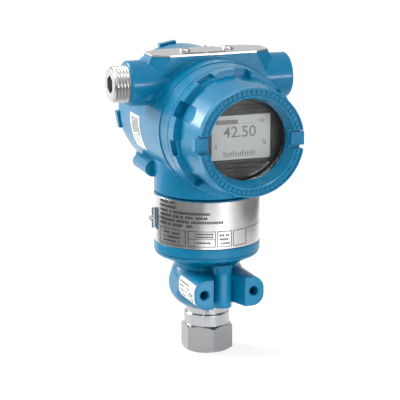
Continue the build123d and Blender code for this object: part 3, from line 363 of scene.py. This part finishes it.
# All print is measured in millimetres, across to the right and up, over the face that bears it.
ink_lift = 0.05
ink_black = (0.012, 0.012, 0.013)
worn_ink = (0.05, 0.048, 0.048)
bar_widths = (0.55, 0.95)
bar_gap = 0.28
bar_chance = 0.92
shortest_bar = 0.4
bend_step = 1.5
entry_left = -42.8
entry_height = 1.5
entry_lows_and_rights = (
    (92.1, -29.5),
    (89.6, -29.5),
    (86.9, -8.9),
    (84.4, -9.3),
    (81.9, -0.8),
    (79.4, -18.5),
)
table_low = 68.3
table_high = 77.6
table_boxes = ((-43.2, -23.3), (-21.8, -5.6), (-4.7, 4.1), (5.0, 14.5))
box_line = 0.35
thin_line = 0.25
divider_left = -18.2
divider_low = 72.8
tail_left = 14.5
tail_right = 60.0
tail_low = 77.55
outer_box_rows = (74.6, 72.2, 69.8)
outer_row_height = 1.1
left_box_text = (-39.5, -26.5)
right_box_text = (-3.4, 2.8)
middle_box_rows = (75.4, 73.7, 70.3)
middle_row_height = 1.0
middle_box_text = (-17.0, -7.0)

band_steel = machined_steel(
    "band_steel", (0.68, 0.675, 0.67), roughness=0.24, stretch=(60, 60, 2600), depth=0.12
)
dress(band_steel, "nameplate_band")
dress(turned_steel, "band_screw")

printed_ink, ink_shader, ink_place = new_finish("printed_ink")
ink_wear = mottle(printed_ink, ink_place, scale=1800.0, detail=2.0)
ink_inputs = {
    "Base Color": two_tones(printed_ink, ink_wear, ink_black, worn_ink),
    "Roughness": 0.6,
    "Specular IOR Level": 0.2,
}
set_inputs(printed_ink, ink_shader, ink_inputs)


def print_mark(print_shape, place_on, left, right, low, high):
    columns = max(1, int(abs(right - left) / bend_step))
    mark = bmesh.ops.create_grid(print_shape, x_segments=columns, y_segments=1, size=0.5)
    for corner in mark["verts"]:
        across = left + (corner.co.x + 0.5) * (right - left)
        up = low + (corner.co.y + 0.5) * (high - low)
        corner.co = place_on(across, up)


def print_row(print_shape, place_on, left, right, low, height, draws):
    across = left
    while across < right - shortest_bar:
        width = draws.uniform(*bar_widths)
        if draws.random() < bar_chance:
            print_mark(
                print_shape, place_on, across, min(across + width, right), low, low + height
            )
        across += width + bar_gap


def print_frame(print_shape, place_on, left, right, low, high, line):
    print_mark(print_shape, place_on, left, right, low, low + line)
    print_mark(print_shape, place_on, left, right, high - line, high)
    print_mark(print_shape, place_on, left, left + line, low, high)
    print_mark(print_shape, place_on, right - line, right, low, high)


def finish_print(print_shape, name, body, finish):
    bmesh.ops.recalc_face_normals(print_shape, faces=print_shape.faces)
    print_mesh = bpy.data.meshes.new(name)
    print_shape.to_mesh(print_mesh)
    print_shape.free()
    print_mesh.materials.append(finish)
    print_piece = bpy.data.objects.new(name, print_mesh)
    scene.collection.objects.link(print_piece)
    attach(print_piece, body)


def in_metres(x, y, z):
    return Vector((x / mm_in_metre, y / mm_in_metre, z / mm_in_metre))


def on_band(across, up):
    turn = across / band_radius
    reach = band_radius + ink_lift
    return in_metres(reach * sin(turn), -reach * cos(turn), up)


band_draws = random.Random(7)
band_shape = bmesh.new()
for low, right in entry_lows_and_rights:
    print_row(band_shape, on_band, entry_left, right, low, entry_height, band_draws)
for left, right in table_boxes:
    print_frame(band_shape, on_band, left, right, table_low, table_high, box_line)
print_mark(band_shape, on_band, divider_left, divider_left + thin_line, table_low, table_high)
print_mark(band_shape, on_band, tail_left, tail_right, tail_low, tail_low + thin_line)
print_mark(band_shape, on_band, *table_boxes[1], divider_low, divider_low + thin_line)
for low in outer_box_rows:
    for box_text in (left_box_text, right_box_text):
        print_row(band_shape, on_band, *box_text, low, outer_row_height, band_draws)
for low in middle_box_rows:
    print_row(band_shape, on_band, *middle_box_text, low, middle_row_height, band_draws)
finish_print(band_shape, "band_print", "sensor_module", printed_ink)

# Process label on the left lug.
# A white film label laid over the rounded flank, printed with plain bars and a block of squares.
lug_axis_height = 42.6
lug_flat_half_height = 1.6
lug_round_centre = 13.9
lug_ink_radius = 7.2
lug_text_left = 12.0
lug_text_height = 1.0
lug_lows_and_rights = ((45.6, 31.0), (43.2, 28.0), (40.6, 24.0), (38.2, 22.0))
squares_left = 27.0
squares_low = 37.4
square_columns = 7
square_lines = 6
square_length = 0.95
square_height = 0.7
square_gap = 0.15
square_chance = 0.55
film_grey = (0.78, 0.79, 0.8)
film_white = (0.87, 0.88, 0.88)

white_film, film_shader, film_place = new_finish("white_film")
film_fibre = mottle(white_film, film_place, scale=900.0, detail=3.0)
film_inputs = {
    "Base Color": two_tones(white_film, film_fibre, film_grey, film_white),
    "Roughness": 0.35,
}
set_inputs(white_film, film_shader, film_inputs)
dress(white_film, "process_label")


def on_lug(across, up):
    past_flat = max(0, abs(up - lug_axis_height) - lug_flat_half_height)
    reach = lug_round_centre + sqrt(lug_ink_radius**2 - past_flat**2)
    return in_metres(-reach, -across, up)


lug_draws = random.Random(3)
lug_shape = bmesh.new()
for low, right in lug_lows_and_rights:
    print_row(lug_shape, on_lug, lug_text_left, right, low, lug_text_height, lug_draws)
for column in range(square_columns):
    for line in range(square_lines):
        if lug_draws.random() < square_chance:
            left = squares_left + column * (square_length + square_gap)
            low = squares_low + line * (square_height + square_gap)
            print_mark(lug_shape, on_lug, left, left + square_length, low, low + square_height)
finish_print(lug_shape, "process_label_print", "sensor_module", printed_ink)

# Housing.
# One aluminium casting with barrel, neck, top block, conduit bosses and ground boss.
# It has the same blue powder coat as the sensor casting.
housing_paint = powder_coat(
    "housing_paint", (0.0, 0.169, 0.324), roughness=0.27, edge_radius=0.0012
)
dress(housing_paint, "housing")

# Housing label on the left flank of the barrel.
# White film with a thin printed edge and short bars that run round the barrel.
barrel_axis_height = 136.8
barrel_radius = 37.6
barrel_ink_radius = 37.81
barrel_label_angle = 176.5
barrel_label_edge = (10.8, 26.2, 0.8, 20.2)
barrel_text_front = 12.0
barrel_text_low = 1.8
barrel_rows = 6
barrel_row_pitch = 2.2
long_row_end = 18.0
short_row_end = 10.5
barrel_bar_width = 1.5
barrel_bar_lengths = (0.6, 1.5)
barrel_bar_gap = 0.35
dress(white_film, "housing_label")


def on_barrel(across, up):
    turn = radians(barrel_label_angle) + up / barrel_radius
    rise = barrel_ink_radius * sin(turn)
    return in_metres(barrel_ink_radius * cos(turn), across, barrel_axis_height + rise)


barrel_draws = random.Random(5)
barrel_shape = bmesh.new()
print_frame(barrel_shape, on_barrel, *barrel_label_edge, thin_line)
for row in range(barrel_rows):
    front = barrel_text_front + row * barrel_row_pitch
    row_end = long_row_end if row % 2 else short_row_end
    low = barrel_text_low
    while low < row_end:
        length = barrel_draws.uniform(*barrel_bar_lengths)
        print_mark(barrel_shape, on_barrel, front, front + barrel_bar_width, low, low + length)
        low += length + barrel_bar_gap
finish_print(barrel_shape, "housing_label_print", "housing", printed_ink)

# Ground screw, its washer, the set screw and the inner ground screw.
# Turned steel, left plain, a little uneven from handling and tightening.
screw_steel = machined_steel(
    "screw_steel", (0.5, 0.5, 0.5), roughness=0.26, stretch=(700, 700, 700), depth=0.06
)
dress(screw_steel, "ground_screw", "ground_washer", "rotation_set_screw", "inner_ground_screw")

# Tag plate and its two screws.
# Brushed sheet steel with the grain along its length, printed with two rows of plain bars.
# It swings aside to reach the buttons.
plate_top = 177.2
plate_rows = (-10.4, -7.8)
plate_row_height = 1.9
plate_row_left = -17.0
plate_row_right = 9.0
plate_steel = machined_steel(
    "plate_steel", (0.58, 0.58, 0.58), roughness=0.38, stretch=(50, 2400, 50), depth=0.1
)
dress(plate_steel, "tag_plate")
dress(screw_steel, "tag_screws")


def on_plate(across, up):
    return in_metres(across, up, plate_top + ink_lift)


plate_draws = random.Random(4)
plate_shape = bmesh.new()
for low in plate_rows:
    print_row(
        plate_shape, on_plate, plate_row_left, plate_row_right, low, plate_row_height, plate_draws
    )
finish_print(plate_shape, "plate_print", "tag_plate", printed_ink)

# Zero and span buttons with their springs.
# Dark moulded plungers in the pockets of the top block, each on a small steel spring.


def moulded_plastic(name, colour, roughness, grain_scale):
    finish, shader, place = new_finish(name)
    spark = mottle(finish, place, scale=grain_scale, detail=2.0)
    clouds = mottle(finish, place, scale=70.0, detail=3.0)
    tone = map_range(finish, clouds, span=(0.3, 0.7), to=(0.85, 1.15))
    dullness = (roughness - 0.05, roughness + 0.05)
    edge = soft_edge(finish, radius=0.0004, samples=4)
    inputs = {
        "Base Color": scale_tone(finish, colour, tone),
        "Roughness": map_range(finish, clouds, span=(0.3, 0.7), to=dullness),
        "Normal": relief(finish, spark, strength=0.15, distance=0.00005, normal=edge),
    }
    set_inputs(finish, shader, inputs)
    return finish


button_black = moulded_plastic(
    "button_black", (0.03, 0.03, 0.032), roughness=0.45, grain_scale=2500.0
)
dress(button_black, "zero_button", "span_button")
dress(screw_steel, "zero_spring", "span_spring")

# Conduit plug in the left entry.
# Turned steel with a coarse thread standing out of the boss and a hexagon socket in its face.
plug_steel = machined_steel(
    "plug_steel", (0.515, 0.507, 0.499), roughness=0.3, stretch=(3200, 60, 60), depth=0.15
)
dress(plug_steel, "conduit_plug")

# Electronics can and display board.
# The potted can fills the front compartment behind the round green board.
can_black = moulded_plastic(
    "can_black", (0.03, 0.031, 0.033), roughness=0.5, grain_scale=1800.0
)
dress(can_black, "electronics_can")
dress(green_board, "display_board")

# Display bezel.
# A charcoal moulding with a fine spark texture, and three ridges above and below the screen.
bezel_charcoal = moulded_plastic(
    "bezel_charcoal", (0.011, 0.011, 0.011), roughness=0.42, grain_scale=2200.0
)
bezel_shader = bezel_charcoal.node_tree.nodes["Principled BSDF"]
set_inputs(bezel_charcoal, bezel_shader, {"Specular IOR Level": 0.25})
dress(bezel_charcoal, "display_bezel")

# Display screen and what it shows.
# A pale grey panel with a fine grid of cells, set flat in the bezel, with a faint painted glow
# that brightens it.
# The reading and the marks round it are plain numbers, bars and a dashed line.
screen_front = -53.6
number_lift = 0.06
heading_bar = (-15.2, -2.0, 144.4, 146.9)
dash_low = 144.4
dash_left = -1.4
dash_pitch = 1.35
dash_length = 0.8
dash_height = 0.25
dash_count = 8
scale_line = (-10.4, 8.3, 126.2, 126.5)
tick_left = -10.4
tick_low = 126.8
tick_pitch = 1.38
tick_width = 0.7
tick_count = 14
tall_tick = 2.6
short_tick = 1.7
ticks_to_tall = 4
pointer_foot = (-15.4, -14.3, 131.2, 132.3)
pointer_stem = (-15.1, -14.6, 132.6, 134.0)
reading_dark = (0.075, 0.075, 0.078)
reading_pale = (0.12, 0.12, 0.122)

screen_panel, panel_shader, panel_place = new_finish("screen_panel")
panel_upright = add_step(
    screen_panel, "Mapping", {"Vector": panel_place, "Rotation": (radians(-90), 0, 0)}
)
cell_inputs = {
    "Vector": panel_upright.outputs[0],
    "Color1": (0.31, 0.315, 0.31, 1),
    "Color2": (0.325, 0.33, 0.325, 1),
    "Mortar": (0.28, 0.285, 0.28, 1),
    "Scale": 3000.0,
    "Mortar Size": 0.03,
    "Brick Width": 1.0,
    "Row Height": 1.0,
}
panel_cells = add_step(screen_panel, "TexBrick", cell_inputs, offset=0.0)
# Painted light: the panel glows faintly in its own colour, which brightens it.
panel_inputs = {
    "Base Color": panel_cells.outputs["Color"],
    "Emission Color": panel_cells.outputs["Color"],
    "Emission Strength": 0.1,
    "Roughness": 0.3,
}
set_inputs(screen_panel, panel_shader, panel_inputs)
dress(screen_panel, "display_screen")

reading_grey, reading_shader, reading_place = new_finish("reading_grey")
reading_cells = mottle(reading_grey, reading_place, scale=2500.0, detail=2.0)
reading_inputs = {
    "Base Color": two_tones(reading_grey, reading_cells, reading_dark, reading_pale),
    "Roughness": 0.4,
}
set_inputs(reading_grey, reading_shader, reading_inputs)


def on_screen(across, up):
    return in_metres(across, screen_front - ink_lift, up)


def screen_number(name, words, left, baseline, size, stroke):
    letters = bpy.data.curves.new(name, "FONT")
    letters.body = words
    letters.size = size
    letters.offset = stroke
    draft = bpy.data.objects.new(name + "_draft", letters)
    scene.collection.objects.link(draft)
    bpy.context.view_layer.update()
    number_mesh = bpy.data.meshes.new_from_object(draft)
    bpy.data.objects.remove(draft)
    place = Matrix.Translation(in_metres(left, screen_front - number_lift, baseline))
    number_mesh.transform(place @ Matrix.Rotation(radians(90), 4, "X"))
    number_mesh.materials.clear()
    number_mesh.materials.append(reading_grey)
    number = bpy.data.objects.new(name, number_mesh)
    scene.collection.objects.link(number)
    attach(number, "housing")


screen_number("screen_reading", "42.50", -10.6, 137.0, size=0.0088, stroke=0.00005)
screen_number("screen_unit", "%", 12.6, 132.0, size=0.0036, stroke=0.00005)
screen_number("screen_limit", "100", 9.6, 144.6, size=0.0028, stroke=0.00003)

screen_shape = bmesh.new()
print_mark(screen_shape, on_screen, *heading_bar)
for dash in range(dash_count):
    left = dash_left + dash * dash_pitch
    print_mark(screen_shape, on_screen, left, left + dash_length, dash_low, dash_low + dash_height)
for tick in range(tick_count):
    left = tick_left + tick * tick_pitch
    height = short_tick if tick % ticks_to_tall else tall_tick
    print_mark(screen_shape, on_screen, left, left + tick_width, tick_low, tick_low + height)
for box in (scale_line, pointer_foot, pointer_stem):
    print_mark(screen_shape, on_screen, *box)
finish_print(screen_shape, "screen_marks", "housing", reading_grey)

# Terminal block and its screws.
# A dark moulded block in the rear compartment with three clamping screws in its pockets.
terminal_plastic = moulded_plastic(
    "terminal_plastic", (0.035, 0.036, 0.038), roughness=0.5, grain_scale=1500.0
)
dress(terminal_plastic, "terminal_block")
dress(screw_steel, "terminal_screws")

# Display cover and its seal ring.
# An aluminium casting with notches round its flange and a ribbed front ring, painted as the
# housing is. A rubber ring lies in the groove behind its flange.
cover_paint = powder_coat("cover_paint", (0.0, 0.171, 0.331), roughness=0.27, edge_radius=0.0007)
dress(cover_paint, "front_cover")
dress(seal_rubber, "front_cover_seal")

# Window glass and its retaining ring.
# A thick clear disc, held from behind by a turned ring of steel.
# Light passes through it to the display without a dark shadow.
window_glass, glass_shader, glass_place = new_finish("window_glass")
glass_ripple = mottle(window_glass, glass_place, scale=25.0, detail=1.0)
glass_inputs = {
    "Base Color": (0.97, 0.98, 0.98, 1),
    "Roughness": 0.02,
    "Transmission Weight": 1,
    "IOR": 1.46,
    "Normal": relief(window_glass, glass_ripple, strength=0.02, distance=0.0002),
}
set_inputs(window_glass, glass_shader, glass_inputs)
glass_rays = add_step(window_glass, "LightPath", {})
glass_clear = add_step(window_glass, "BsdfTransparent", {})
shadow_share = glass_rays.outputs["Is Shadow Ray"]
mix_surface(window_glass, "Material Output", shadow_share, glass_shader, glass_clear)
dress(window_glass, "window_glass")
dress(screw_steel, "glass_retainer")

# Rear cover and its seal ring.
# The cast cover over the terminals has eight lugs round its flange and a dished face.
# It is painted as the housing is, and closes on a rubber ring.
rear_paint = powder_coat("rear_paint", (0.0, 0.169, 0.327), roughness=0.27, edge_radius=0.0007)
dress(rear_paint, "rear_cover")
dress(seal_rubber, "rear_cover_seal")
